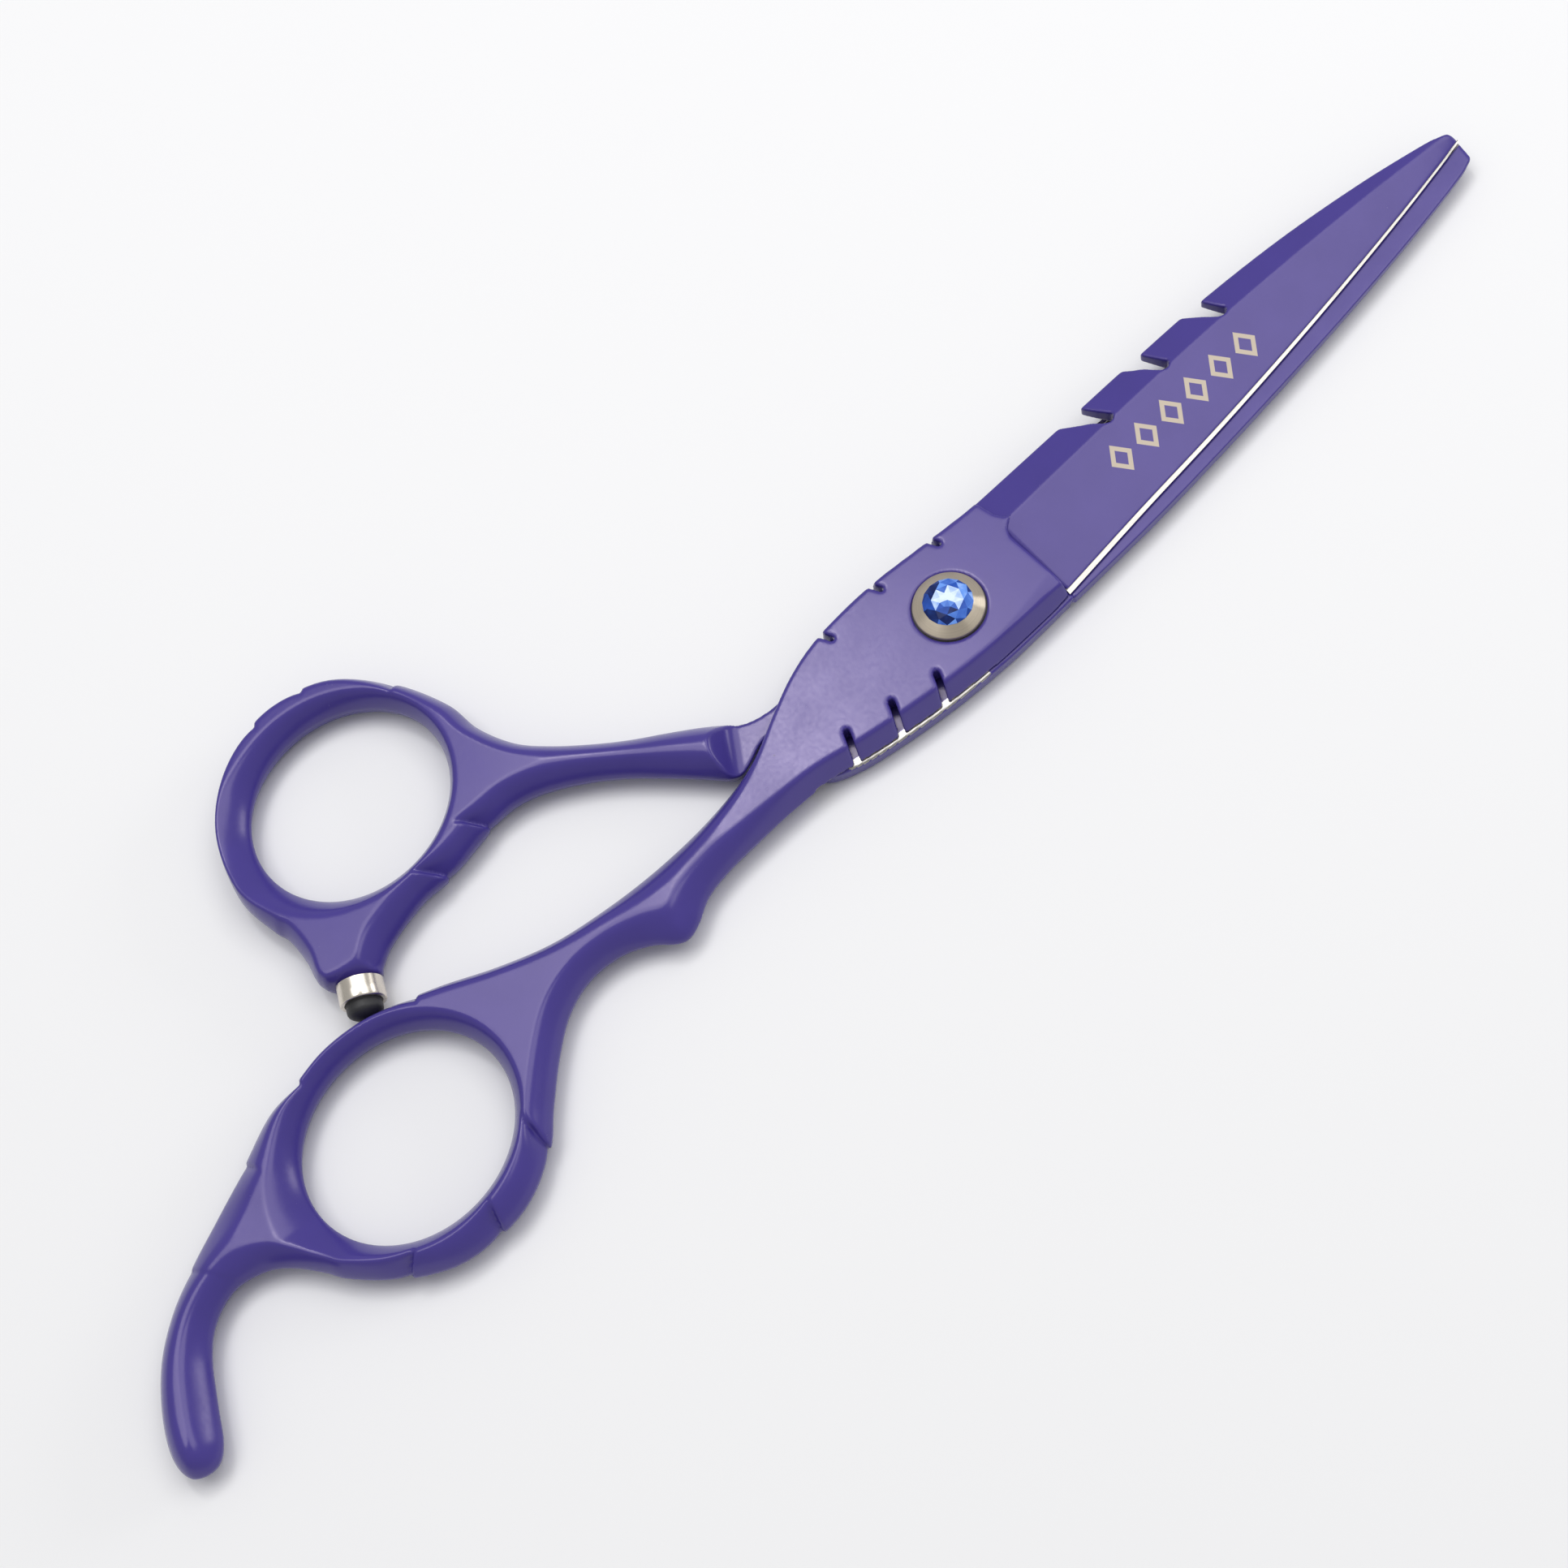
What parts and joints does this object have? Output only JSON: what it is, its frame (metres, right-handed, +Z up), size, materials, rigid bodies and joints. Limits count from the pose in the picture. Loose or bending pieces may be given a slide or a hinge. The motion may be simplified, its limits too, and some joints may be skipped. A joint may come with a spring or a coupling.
{
  "type": "hairdressing shears",
  "caption": "Violet-painted hairdressing shears with a notched spine, crystal-set pivot screw, offset thumb ring with a rubber bumper and a curved finger rest.",
  "frame": {"origin": "on the pivot axis, in the plane the shears lie on, which is the outer face of the tension nut", "axes": "+X along the blades to their tips, +Y to the side of the thumb ring, +Z up out of the head of the pivot screw"},
  "size_m": [0.1748, 0.056, 0.0063],
  "materials": {
    "violet_paint": "satin violet paint over steel, bare steel along the cutting edges",
    "bright_steel": "turned and brushed",
    "crystal": "faceted light blue crystal",
    "cement": "clear-set cement, pale",
    "black_nylon": "black nylon",
    "pale_nylon": "pale slippery plastic",
    "bronze": "sintered bronze",
    "spring_steel": "spring steel, plain",
    "black_rubber": "matt black rubber"
  },
  "bodies": {
    "finger_side": {"finger_half": "violet_paint", "pivot_screw": "bright_steel", "crystal": "crystal", "crystal_cement": "cement", "head_washer": "black_nylon"},
    "thumb_side": {"thumb_half": "violet_paint", "pivot_bush": "bronze", "friction_washer": "pale_nylon", "tension_spring": "spring_steel", "bumper_sleeve": "bright_steel", "bumper_pad": "black_rubber"},
    "adjuster": {"tension_nut": "bright_steel"}
  },
  "joints": [
    {"name": "blade_pivot", "type": "hinge", "parent": "finger_side", "child": "thumb_side", "pos_m": [0, 0, 0.0025], "axis": [0, 0, -1], "range_deg": [0, 90]},
    {"name": "tension_turn", "type": "hinge", "parent": "finger_side", "child": "adjuster", "pos_m": [0, 0, 0.0005], "axis": [0, 0, -1], "range_deg": [-90, 90]}
  ]
}
